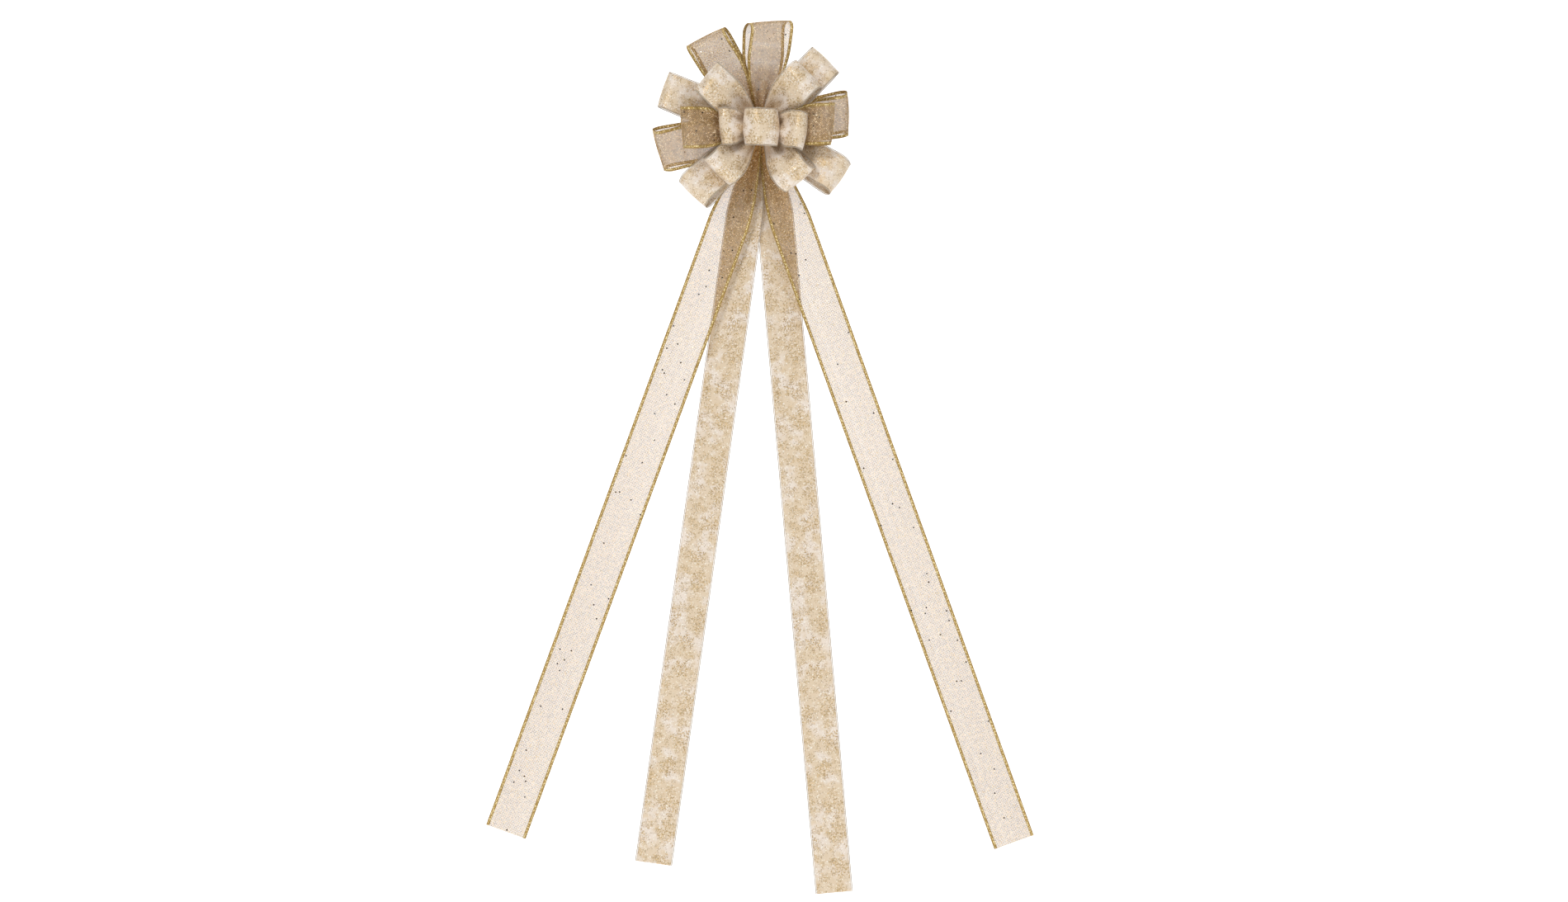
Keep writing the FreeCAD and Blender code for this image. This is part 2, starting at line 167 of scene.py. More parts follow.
def cubic(start, pull, push, end, count=60):
    """Points on a cubic curve, without its last one."""
    t = np.linspace(0, 1, count, endpoint=False)[:, None]
    parts = [np.array(p, float) for p in (start, pull, push, end)]
    weights = ((1 - t) ** 3, 3 * t * (1 - t) ** 2, 3 * t ** 2 * (1 - t), t ** 3)
    return sum(w * p for w, p in zip(weights, parts))


def side_line(length, tip, belly):
    """The teardrop from the near neck round the tip to the far neck, x out and y back."""
    gap = 1.0 * MM
    root, shoulder = NECK_REACH, length - tip
    reach = shoulder - root
    round_off = QUARTER_CIRCLE * tip
    near = [(root, -gap), (root + 0.45 * reach, -gap - belly * 0.5 * tip),
            (shoulder - 0.35 * reach, -tip), (shoulder, -tip)]
    tip_near = [(shoulder, -tip), (shoulder + round_off, -tip),
                (length, -round_off), (length, 0)]
    half = np.concatenate([cubic(*near), cubic(*tip_near)])
    other = half[::-1] * (1, -1)
    return np.concatenate([half, [(length, 0)], other])


def even_line(points, count):
    """The same line as count evenly spaced points, and how far along each one is."""
    steps = np.linalg.norm(np.diff(points, axis=0), axis=1)
    along = np.concatenate([[0], np.cumsum(steps)])
    wanted = np.linspace(0, along[-1], count)
    spaced = [np.interp(wanted, along, points[:, i]) for i in range(points.shape[1])]
    return np.stack(spaced, axis=1), wanted


def turned_by(axis, degrees):
    return np.array(Matrix.Rotation(math.radians(degrees), 3, axis))


print("teardrop of", len(side_line(0.12, 0.014, 0.5)), "points")

# %% [markdown]
# ## Gathers and ripples
#
# The cloth's width doesn't change. Where the ribbon is narrower than the cloth, the spare
# width stands up in folds, and how high they stand follows from how much is spare. Close
# to the waist the folds are pressed flat by the tie. The wired edges also ripple, where
# fingers have bent them.


# %% Gathers
def smooth(share):
    share = np.clip(share, 0, 1)
    return share ** 2 * (3 - 2 * share)


def half_width(ribbon, share):
    """Half the ribbon's width as it spreads from the neck, for a share from 0 to 1."""
    full = RIBBON_WIDTH[ribbon]
    return NECK_WIDTH / 2 + (full - NECK_WIDTH) / 2 * (1 - (1 - share) ** 1.5)


def gathers(across, half, full, from_neck, folds, phase, depth):
    """How far the cloth stands off its line, in folds across the ribbon."""
    spare = np.sqrt(np.maximum(full ** 2 - 4 * half ** 2, 0))
    height = 0.75 * spare * math.sqrt(2) / (2 * math.pi * folds)
    height = np.minimum(height, 0.6 * MM + depth * from_neck)
    return height * np.sin(math.pi * folds * across + phase)


def ripples(across, along, seed, height=0.5 * MM):
    """Small waves along the wired edges."""
    draw = random.Random(seed + 7)
    total = 0
    for _ in range(3):
        wave, phase = draw.uniform(22, 60) * MM, draw.uniform(0, 2 * math.pi)
        total = total + np.sin(2 * math.pi * along / wave + phase + across)
    return height * total * (0.25 + across ** 2) / 1.25


# %% [markdown]
# ## From a line to a ribbon
#
# The surface of a ribbon is a rule: for any place along and across it, the rule gives a
# point in space. The cloth, its edges and the net all ask the same rule, so they lie
# exactly together. The folds of a loop's two runs nest, so they face opposite ways along
# its line and vanish at the tip.


# %% Loop surface
def loop_surface(name, count=110):
    """A function from an array of places across (-1 to 1) to points, and the line's steps."""
    row = row_of(LOOPS, LOOP_COLUMNS, name)
    seed = sorted(LOOPS).index(name) + 1
    full = RIBBON_WIDTH[row["ribbon"]]
    length, tip = row["length"] * MM, row["tip"] * MM
    line, along = even_line(side_line(length, tip, row["belly"]), count)
    slope = np.gradient(line, axis=0)
    slope /= np.linalg.norm(slope, axis=1)[:, None]
    from_neck = np.minimum(along, along[-1] - along)[:, None]
    share = np.clip(from_neck / (row["spread"] * full), 0, 1)
    half = half_width(row["ribbon"], share)
    place = turned_by("Y", -row["direction"]) @ turned_by("Z", -row["lean"])
    front = -line[:, 1:2] / tip

    def at(across):
        v = np.asarray(across, float)[None, :]
        off = slope[:, 0:1] * gathers(v, half, full, from_neck, row["folds"],
                                      row["phase"], row["depth"])
        off = off + ripples(v, along[:, None], seed) * share
        off = off - row["cup"] * MM * (v ** 2 - 0.4) * share
        x = line[:, 0:1] + slope[:, 1:2] * off
        x = x + row["tilt"] * MM * v * smooth(x / length)
        y = line[:, 1:2] - slope[:, 0:1] * off
        z = v * half + (row["slip"] * front + row["drop"]) * MM * (x / length)
        turn = np.radians(row["twist"]) * (x / length)
        y, z = y * np.cos(turn) - z * np.sin(turn), y * np.sin(turn) + z * np.cos(turn)
        points = np.stack([x, y, z], axis=-1) @ place.T
        points[..., 1] += row["layer"] * MM
        return points

    return at, along


# %% [markdown]
# ## Tails
#
# A tail hangs from its eye on the twisted shank behind the waist. Its neck bends a little
# aside and fans away from its neighbours. Then it sways gently, because a wired ribbon
# remembers how it was rolled. Its place on the shank comes from the design's own eye.


# %% Tail surface
def tail_surface(name, count=430):
    """The same as loop_surface, for a tail."""
    row = row_of(TAILS, TAIL_COLUMNS, name)
    seed = 100 + sorted(TAILS).index(name)
    draw = random.Random(seed)
    length, full = row["length"] * MM, RIBBON_WIDTH[row["ribbon"]]
    low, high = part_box(f"{name}_web")
    eye = (low.y + high.y) / 2
    along = np.linspace(0, length, count)
    s = along[:, None]
    share = np.clip(s / (TAIL_SPREAD * full), 0, 1)
    half = half_width(row["ribbon"], share)
    aside = row["aside"] * MM * smooth(s / (110 * MM))
    fan = row["fan"] * MM * smooth(s / (120 * MM))
    first, second = draw.uniform(0.28, 0.36), draw.uniform(0.15, 0.2)
    sway = row["wave"] * MM * np.clip((s - 0.1) / 0.3, 0, 1)
    wave = sway * (np.sin(2 * math.pi * s / first + draw.uniform(0, 6))
                   + 0.6 * np.sin(2 * math.pi * s / second + draw.uniform(0, 6)))
    lean = turned_by("Y", row["lean"])
    phase = draw.uniform(0, 6)

    def at(across):
        v = np.asarray(across, float)[None, :]
        off = gathers(v, half, full, s, 2.5, phase, 0.02)
        off = off + ripples(v, s, seed, 0.3 * MM) * share
        off = off - row["cup"] * MM * (v ** 2 - 0.4) * share
        points = [v * half + aside, eye + fan + wave + off, -s + 0 * v]
        return np.stack(points, axis=-1) @ lean.T

    return at, along


# %% [markdown]
# ## Turning a surface into meshes
#
# A grid of points becomes a mesh, and each point keeps its place on the flat ribbon in an
# attribute called cloth: metres along, then metres across. Patterns read that attribute,
# so a weave or a print follows every fold, as it does on real cloth.


# %% Grid meshes
def grid_mesh(name, points, along, across):
    """A sheet through a grid of points. across is in metres from the ribbon's middle.

    gathered says how much narrower the sheet is than the cloth, from 0 to 1.
    """
    rows, columns = points.shape[:2]
    index = np.arange(rows * columns).reshape(rows, columns)
    corners = np.stack([index[:-1, :-1], index[1:, :-1], index[1:, 1:], index[:-1, 1:]],
                       axis=-1).reshape(-1, 4)
    mesh = bpy.data.meshes.new(name)
    mesh.from_pydata(points.reshape(-1, 3).tolist(), [], corners.tolist())
    cloth = np.zeros((rows, columns, 3))
    cloth[..., 0] = along[:, None]
    cloth[..., 1] = across[None, :]
    attribute = mesh.attributes.new("cloth", "FLOAT_VECTOR", "POINT")
    attribute.data.foreach_set("vector", cloth.reshape(-1).astype(np.float32))
    width = np.linalg.norm(points[:, -1] - points[:, 0], axis=1)
    narrow = np.clip(1 - width / (across[-1] - across[0]), 0, 1)
    attribute = mesh.attributes.new("gathered", "FLOAT", "POINT")
    attribute.data.foreach_set("value", np.repeat(narrow, columns).astype(np.float32))
    mesh.polygons.foreach_set("use_smooth", [True] * len(mesh.polygons))
    return mesh


def new_piece(name, mesh):
    piece = bpy.data.objects.new(name, mesh)
    bpy.context.scene.collection.objects.link(piece)
    return piece


def applied(piece):
    """The piece with its modifiers made real, so that the mesh is all there is."""
    graph = bpy.context.evaluated_depsgraph_get()
    graph.update()
    solid = bpy.data.meshes.new_from_object(piece.evaluated_get(graph))
    piece.modifiers.clear()
    old = piece.data
    piece.data = solid
    solid.name = piece.name
    bpy.data.meshes.remove(old)
    return piece


# %% [markdown]
# ## Node trees, in short
#
# Both materials and Geometry Nodes are trees of nodes. A small helper makes a node, sets
# its inputs and joins it to others: an input may be a plain value or another socket.


# %% Node helpers
class Tree:
    """Adds nodes to a tree. An input given as a socket is linked, and any other is set."""

    def __init__(self, tree):
        self.tree = tree

    def node(self, kind, inputs=(), **settings):
        made = self.tree.nodes.new(kind)
        for key, value in settings.items():
            setattr(made, key, value)
        for key, value in dict(inputs).items():
            if isinstance(value, bpy.types.NodeSocket):
                self.tree.links.new(value, made.inputs[key])
            else:
                made.inputs[key].default_value = value
        return made

    def math(self, operation, a, b=0.0, c=0.0, clamp=False):
        made = self.node("ShaderNodeMath", {0: a, 1: b, 2: c}, operation=operation,
                         use_clamp=clamp)
        return made.outputs[0]

    def vector(self, operation, a, b=(0, 0, 0)):
        made = self.node("ShaderNodeVectorMath", {0: a, 1: b}, operation=operation)
        return made.outputs[0]

    def mix(self, factor, a, b):
        made = self.tree.nodes.new("ShaderNodeMix")
        made.data_type = "RGBA"
        sockets = (made.inputs[0], made.inputs[6], made.inputs[7])
        for socket, value in zip(sockets, (factor, a, b)):
            if isinstance(value, bpy.types.NodeSocket):
                self.tree.links.new(value, socket)
            elif socket is sockets[0]:
                socket.default_value = value
            else:
                socket.default_value = (*value, 1)
        return made.outputs[2]

    def step(self, value, low, high):
        """0 below low, 1 above high, smooth between. It falls if low is over high."""
        made = self.node("ShaderNodeMapRange", {0: value, 1: low, 2: high, 3: 0.0, 4: 1.0},
                         interpolation_type="SMOOTHSTEP")
        return made.outputs[0]


def new_material(name):
    material = bpy.data.materials.new(name)
    material.use_nodes = True
    material.node_tree.nodes.clear()
    return material, Tree(material.node_tree)


def finish_material(tree, shader):
    tree.node("ShaderNodeOutputMaterial", {"Surface": shader})


def bumped(tree, height, strength, distance):
    return tree.node("ShaderNodeBump", {"Height": height, "Strength": strength,
                                        "Distance": distance}).outputs[0]


# %% [markdown]
# ## The print on the snowflake ribbon
#
# A snowflake has six arms, so one arm is drawn and the angle round its middle is folded
# until all six fall on it. Cells scatter the middles over the cloth, and each cell's own
# random colour turns and sizes its flake. Three scatters overlap, of large, middling and
# small flakes. Glitter grains then break the flakes into dots.


# %% Snowflake print
def flakes(tree, place, pitch, smallest, largest, stroke, scatter):
    """Where a scatter of snowflakes is printed, from 0 to 1. All sizes are millimetres."""
    cells = tree.node("ShaderNodeTexVoronoi", {"Vector": place, "Scale": 1 / pitch,
                                               "Randomness": scatter},
                      voronoi_dimensions="2D", feature="F1")
    offset = tree.vector("SUBTRACT", place, cells.outputs["Position"])
    draw = tree.node("ShaderNodeSeparateColor", {0: cells.outputs["Color"]})
    angle = tree.math("MULTIPLY", draw.outputs[0], 2 * math.pi)
    turned = tree.node("ShaderNodeVectorRotate", {"Vector": offset, "Angle": angle},
                       rotation_type="Z_AXIS")
    split = tree.node("ShaderNodeSeparateXYZ", {0: turned.outputs[0]})
    x, y = split.outputs[0], split.outputs[1]
    radius = tree.math("SQRT", tree.math("ADD", tree.math("MULTIPLY", x, x),
                                         tree.math("MULTIPLY", y, y)))
    round_it = tree.math("ARCTAN2", y, x)
    folded = tree.math("PINGPONG", round_it, math.pi / 6)
    out = tree.math("MULTIPLY", radius, tree.math("COSINE", folded))
    side = tree.math("MULTIPLY", radius, tree.math("SINE", folded))
    reach = tree.math("MULTIPLY_ADD", draw.outputs[1], largest - smallest, smallest)
    arm = tree.math("MULTIPLY", tree.step(side, stroke, stroke * 0.5),
                    tree.step(tree.math("SUBTRACT", out, reach), 0.0, -0.4))
    print_mask = arm
    for where, long in ((0.36, 0.34), (0.62, 0.3), (0.84, 0.16)):
        along = tree.math("SUBTRACT", out, tree.math("MULTIPLY", reach, where))
        cosine, sine = math.cos(math.pi / 3), math.sin(math.pi / 3)
        off = tree.math("SUBTRACT", tree.math("MULTIPLY", along, sine),
                        tree.math("MULTIPLY", side, cosine))
        run = tree.math("ADD", tree.math("MULTIPLY", along, cosine),
                        tree.math("MULTIPLY", side, sine))
        branch = tree.math("MULTIPLY", tree.step(tree.math("ABSOLUTE", off),
                                                 stroke, stroke * 0.5),
                           tree.step(tree.math("SUBTRACT", run,
                                               tree.math("MULTIPLY", reach, long)),
                                     0.0, -0.3))
        branch = tree.math("MULTIPLY", branch, tree.step(run, -0.3, 0.0))
        print_mask = tree.math("MAXIMUM", print_mask, branch)
    return print_mask


def cloth_place(tree, scale=1000.0):
    """The place on the flat ribbon, in millimetres."""
    cloth = tree.node("ShaderNodeAttribute", attribute_name="cloth")
    return tree.node("ShaderNodeVectorMath", {0: cloth.outputs["Vector"], 3: scale},
                     operation="SCALE").outputs[0]


def noise(tree, place, scale, detail=2.0, roughness=0.5):
    return tree.node("ShaderNodeTexNoise", {"Vector": place, "Scale": scale,
                                            "Detail": detail, "Roughness": roughness})


def snowflake_cloth():
    material, tree = new_material("snowflake_print_on_cream_cloth")
    place = cloth_place(tree)
    cloud = noise(tree, place, 0.032, 3.0, 0.6).outputs[0]
    cream = tree.mix(tree.step(cloud, 0.46, 0.62), (0.74, 0.60, 0.43), (0.82, 0.72, 0.62))
    gathered_shade_and_density = tree.node("ShaderNodeAttribute", attribute_name="gathered").outputs["Fac"]
    # Where the ribbon gathers into the neck, the cream is turned warm brown: painted shade.
    cream = tree.mix(tree.math("MULTIPLY", gathered_shade_and_density, 0.9), cream, (0.62, 0.37, 0.15))
    grain = tree.node("ShaderNodeTexVoronoi", {"Vector": place, "Scale": 1 / 1.15},
                      voronoi_dimensions="2D")
    spark = tree.node("ShaderNodeSeparateColor", {0: grain.outputs["Color"]})
    covered = tree.step(spark.outputs[0], 0.28, 0.42)
    large = flakes(tree, place, 44.0, 13.0, 19.0, 1.1, 0.5)
    middle = flakes(tree, tree.vector("ADD", place, (173.0, 91.0, 0)),
                    23.0, 6.0, 9.0, 0.85, 0.6)
    small = flakes(tree, tree.vector("ADD", place, (59.0, 217.0, 0)),
                   15.0, 3.4, 5.2, 0.7, 0.7)
    print_mask = tree.math("MAXIMUM", large, tree.math("MULTIPLY", middle, 0.8))
    print_mask = tree.math("MAXIMUM", print_mask, tree.math("MULTIPLY", small, 0.6))
    mask = tree.math("MULTIPLY", print_mask, covered)
    gold = tree.mix(spark.outputs[1], (0.36, 0.22, 0.08), (0.80, 0.60, 0.34))
    paint = tree.mix(tree.math("MULTIPLY", mask, 0.9), cream, gold)
    dust = tree.step(spark.outputs[2], 0.84, 0.92)
    speck = tree.mix(tree.step(spark.outputs[0], 0.4, 0.6), (0.42, 0.29, 0.15),
                     (1.0, 0.97, 0.9))
    paint = tree.mix(tree.math("MULTIPLY", dust, 0.7), paint, speck)
    glitter = tree.math("MAXIMUM", mask, tree.math("MULTIPLY", dust, 0.7))
    threads = weave_height(tree, place, 0.42)
    height = tree.math("ADD", tree.math("MULTIPLY", threads, 0.35),
                       tree.math("MULTIPLY", glitter, spark.outputs[2]))
    shader = tree.node("ShaderNodeBsdfPrincipled", {
        "Base Color": paint, "Roughness": tree.math("MULTIPLY_ADD", glitter, -0.2, 0.58),
        "Metallic": tree.math("MULTIPLY", glitter, 0.55),
        "Normal": bumped(tree, height, 0.35, 0.0002),
        "Sheen Weight": 0.25, "Sheen Roughness": 0.5, "Specular IOR Level": 0.35})
    finish_material(tree, shader.outputs[0])
    return material


def weave_height(tree, place, pitch):
    """Plain weave: threads along and across that go over and under each other."""
    split = tree.node("ShaderNodeSeparateXYZ", {0: place})
    turn = math.pi / pitch
    along = tree.math("SINE", tree.math("MULTIPLY", split.outputs[0], turn))
    across = tree.math("SINE", tree.math("MULTIPLY", split.outputs[1], turn))
    return tree.math("MULTIPLY", along, across)


SNOW_CLOTH = snowflake_cloth()
print(SNOW_CLOTH.name, "has", len(SNOW_CLOTH.node_tree.nodes), "nodes")

# %% [markdown]
# ## The mesh ribbon's materials
#
# The mesh ribbon is a sheer film of fine threads that carries a net of flat metallic
# strands. The film is mostly see-through, and denser where it is gathered; there its tint
# is also painted deeper brown as shade. The strands are real geometry, so their material
# only has to be champagne metal, with glints painted into its lighter colours. The
# selvedges are gold thread.


# %% Mesh ribbon materials
def sheer_film():
    material, tree = new_material("sheer_champagne_film")
    place = cloth_place(tree)
    tone = noise(tree, place, 0.06, 2.0).outputs[0]
    gathered_shade_and_density = tree.node("ShaderNodeAttribute", attribute_name="gathered").outputs["Fac"]
    tint = tree.mix(tone, (0.43, 0.28, 0.15), (0.54, 0.39, 0.25))
    # Where gathered, the tint turns deep brown: painted shade. The opacity further down is
    # the real denser cloth.
    tint = tree.mix(tree.math("MULTIPLY", gathered_shade_and_density, 1.5, clamp=True), tint,
                    (0.58, 0.29, 0.07))
    cloth = tree.node("ShaderNodeBsdfPrincipled", {
        "Base Color": tint, "Roughness": 0.45, "Sheen Weight": 0.4,
        "Specular IOR Level": 0.4,
        "Normal": bumped(tree, weave_height(tree, place, 0.5), 0.3, 0.0001)})
    clear = tree.node("ShaderNodeBsdfTransparent")
    opaque = tree.math("MULTIPLY_ADD", gathered_shade_and_density, 0.6, 0.34, clamp=True)
    shader = tree.node("ShaderNodeMixShader", {0: opaque, 1: clear.outputs[0],
                                               2: cloth.outputs[0]})
    finish_material(tree, shader.outputs[0])
    return material


def metallic_strand(name, dark, light, roughness, metallic):
    """Metallic thread whose colour and gloss change at random from cell to cell. A light
    colour given to it paints in glints.
    """
    material, tree = new_material(name)
    place = tree.node("ShaderNodeTexCoord").outputs["Object"]
    grain = tree.node("ShaderNodeTexVoronoi", {"Vector": place, "Scale": 620.0})
    draw = tree.node("ShaderNodeSeparateColor", {0: grain.outputs["Color"]})
    colour = tree.mix(draw.outputs[0], dark, light)
    rough = tree.math("MULTIPLY_ADD", draw.outputs[1], 0.3, roughness)
    shader = tree.node("ShaderNodeBsdfPrincipled", {
        "Base Color": colour, "Roughness": rough, "Metallic": metallic,
        "Normal": bumped(tree, draw.outputs[2], 0.5, 0.0002)})
    finish_material(tree, shader.outputs[0])
    return material


def wrapped_thread(name, dark, light, metallic, wrap):
    """Thread wound round a wire: slanted ribs that follow it, painted darker in the grooves
    between them as shade. wrap is in metres.
    """
    material, tree = new_material(name)
    along = tree.node("ShaderNodeAttribute", attribute_name="along").outputs["Fac"]
    turn = tree.node("ShaderNodeAttribute", attribute_name="turn").outputs["Fac"]
    ribs = tree.math("SINE", tree.math("MULTIPLY_ADD", along, 2 * math.pi / wrap, turn))
    ribs = tree.math("MULTIPLY_ADD", ribs, 0.5, 0.5)
    # The colour below runs from dark in the grooves to light on the ribs: painted shade.
    shader = tree.node("ShaderNodeBsdfPrincipled", {
        "Base Color": tree.mix(ribs, dark, light), "Roughness": 0.42,
        "Metallic": metallic, "Normal": bumped(tree, ribs, 0.8, 0.0002)})
    finish_material(tree, shader.outputs[0])
    return material


def gold_band():
    """Flat woven selvedge: gold weft over fine warp."""
    material, tree = new_material("woven_gold_selvedge")
    place = cloth_place(tree)
    threads = weave_height(tree, place, 0.9)
    tone = noise(tree, place, 0.45, 2.0).outputs[0]
    colour = tree.mix(tree.math("MULTIPLY_ADD", threads, 0.35, 0.5),
                      (0.16, 0.08, 0.01), (0.74, 0.50, 0.15))
    # The bright yellow patches mixed in here are painted glints on the gold thread.
    colour = tree.mix(tree.step(tone, 0.5, 0.6), colour, (1.0, 0.86, 0.48))
    shader = tree.node("ShaderNodeBsdfPrincipled", {
        "Base Color": colour, "Roughness": 0.38, "Metallic": 0.6,
        "Normal": bumped(tree, threads, 0.7, 0.0003)})
    finish_material(tree, shader.outputs[0])
    return material


SHEER_FILM = sheer_film()
# The net strands' light colour is painted glint, scattered over small random cells.
NET_STRAND = metallic_strand("champagne_net_strand", (0.33, 0.18, 0.06), (0.96, 0.68, 0.32),
                             0.25, 0.4)
# The glitter's near-white colours are partly the flakes' own pale foil, partly painted
# glints.
GLITTER = metallic_strand("pale_glitter", (0.95, 0.74, 0.42), (1.0, 0.94, 0.78), 0.2, 0.25)
SEQUIN = metallic_strand("dark_bronze_sequin", (0.012, 0.008, 0.006), (0.05, 0.03, 0.02),
                         0.3, 0.3)
GOLD_BAND = gold_band()
GOLD_THREAD = wrapped_thread("gold_thread_over_wire", (0.12, 0.06, 0.02),
                             (0.74, 0.50, 0.17), 0.7, 1.1 * MM)
CREAM_THREAD = wrapped_thread("cream_thread_over_wire", (0.40, 0.32, 0.23),
                              (0.70, 0.61, 0.49), 0.0, 0.9 * MM)
TIE_WIRE = wrapped_thread("gilt_tie_wire", (0.30, 0.20, 0.09), (0.66, 0.5, 0.28), 0.8,
                          2.0 * MM)
print("finishes ready")

# %% [markdown]
# ## Geometry Nodes: the net
#
# The net is thousands of small diamonds, which nobody would place by hand. A tree makes
# straight strands side by side on the flat ribbon, zigzags them so that neighbours meet,
# looks up where each point lies on the real ribbon, and sweeps a thin profile along.


# %% Net tree
def new_geometry_tree(name, sizes):
    """An empty tree with a geometry input and output and the named number inputs."""
    group = bpy.data.node_groups.new(name, "GeometryNodeTree")
    group.interface.new_socket(name="Geometry", in_out="INPUT",
                               socket_type="NodeSocketGeometry")
    for label, kind in sizes:
        group.interface.new_socket(name=label, in_out="INPUT", socket_type=kind)
    group.interface.new_socket(name="Geometry", in_out="OUTPUT",
                               socket_type="NodeSocketGeometry")
    tree = Tree(group)
    return group, tree, tree.node("NodeGroupInput").outputs


def end_geometry_tree(tree, geometry, material):
    whole = tree.node("GeometryNodeRealizeInstances", {"Geometry": geometry})
    painted = tree.node("GeometryNodeSetMaterial", {"Geometry": whole.outputs[0],
                                                    "Material": material})
    tree.node("NodeGroupOutput", {"Geometry": painted.outputs[0]})


def run_tree(piece, group, values):
    """Adds the tree as a modifier, sets its named inputs and makes the result real."""
    modifier = piece.modifiers.new(group.name, "NODES")
    modifier.node_group = group
    for item in group.interface.items_tree:
        if item.in_out == "INPUT" and item.name in values:
            modifier[item.identifier] = values[item.name]
    return applied(piece)


def build_net_tree():
    sizes = [("Length", "NodeSocketFloat"), ("Width", "NodeSocketFloat"),
             ("Pitch", "NodeSocketFloat"), ("Strand", "NodeSocketFloat"),
             ("Material", "NodeSocketMaterial")]
    group, tree, given = new_geometry_tree("diamond_net", sizes)
    half_pitch = tree.math("MULTIPLY", given["Pitch"], 0.5)
    steps = tree.math("FLOOR", tree.math("DIVIDE", given["Length"], half_pitch))
    strands = tree.math("FLOOR", tree.math("DIVIDE", given["Width"], half_pitch))
    flat = tree.node("GeometryNodeMeshGrid", {
        "Size X": given["Length"], "Size Y": tree.math("SUBTRACT", given["Width"],
                                                       half_pitch),
        "Vertices X": tree.math("ADD", steps, 1.0), "Vertices Y": strands})
    ends = tree.node("GeometryNodeInputMeshEdgeVertices")
    apart = tree.vector("SUBTRACT", ends.outputs["Position 1"], ends.outputs["Position 2"])
    split = tree.node("ShaderNodeSeparateXYZ", {0: apart})
    crossing = tree.node("FunctionNodeCompare", {0: tree.math("ABSOLUTE", split.outputs[1]),
                                                 1: 1e-5},
                         data_type="FLOAT", operation="GREATER_THAN")
    lines = tree.node("GeometryNodeDeleteGeometry", {"Geometry": flat.outputs[0],
                                                     "Selection": crossing.outputs[0]},
                      domain="EDGE", mode="EDGE_FACE")
    index = tree.node("GeometryNodeInputIndex").outputs[0]
    step = tree.math("FLOOR", tree.math("DIVIDE", tree.math("ADD", index, 0.5), strands))
    # Counted along its own step, because the bare index repeats when strands are even.
    strand = tree.math("SUBTRACT", index, tree.math("MULTIPLY", step, strands))
    parity = tree.math("MODULO", tree.math("ADD", step, strand), 2.0)
    swing = tree.math("MULTIPLY", tree.math("SUBTRACT", parity, 0.5), half_pitch)
    here = tree.node("GeometryNodeInputPosition").outputs[0]
    xyz = tree.node("ShaderNodeSeparateXYZ", {0: here})
    along = tree.math("ADD", xyz.outputs[0], tree.math("MULTIPLY", given["Length"], 0.5))
    across = tree.math("ADD", xyz.outputs[1], swing)
    inset = 0.00005
    along = tree.math("MINIMUM", tree.math("MAXIMUM", along, inset),
                      tree.math("SUBTRACT", given["Length"], inset))
    limit = tree.math("SUBTRACT", tree.math("MULTIPLY", given["Width"], 0.5), inset)
    across = tree.math("MINIMUM", tree.math("MAXIMUM", across,
                                            tree.math("MULTIPLY", limit, -1.0)), limit)
    wanted = tree.node("ShaderNodeCombineXYZ", {0: along, 1: across})
    cloth = tree.node("GeometryNodeInputNamedAttribute", {"Name": "cloth"},
                      data_type="FLOAT_VECTOR")
    surface = tree.node("GeometryNodeSampleUVSurface", data_type="FLOAT_VECTOR")
    links = tree.tree.links
    links.new(given["Geometry"], surface.inputs["Mesh"])
    links.new(tree.node("GeometryNodeInputPosition").outputs[0], surface.inputs["Value"])
    links.new(cloth.outputs[0], surface.inputs["Source UV Map"])
    links.new(wanted.outputs[0], surface.inputs["Sample UV"])
    laid = tree.node("GeometryNodeSetPosition", {"Geometry": lines.outputs[0],
                                                 "Position": surface.outputs["Value"],
                                                 "Selection": surface.outputs["Is Valid"]})
    curves = tree.node("GeometryNodeMeshToCurve", {"Mesh": laid.outputs[0]})
    profile = tree.node("GeometryNodeCurvePrimitiveCircle",
                        {"Resolution": 4, "Radius": given["Strand"]}, mode="RADIUS")
    swept = tree.node("GeometryNodeCurveToMesh", {"Curve": curves.outputs[0],
                                                  "Profile Curve": profile.outputs[0]})
    end_geometry_tree(tree, swept.outputs[0], given["Material"])
    return group


NET_TREE = build_net_tree()
print(NET_TREE.name, "has", len(NET_TREE.nodes), "nodes")

# %% [markdown]
# ## Geometry Nodes: sequins and glitter
#
# Sequins and glitter are little discs stuck on at random. The tree scatters points over
# the film with a fixed seed, lays a disc flat on each one and turns it a little.


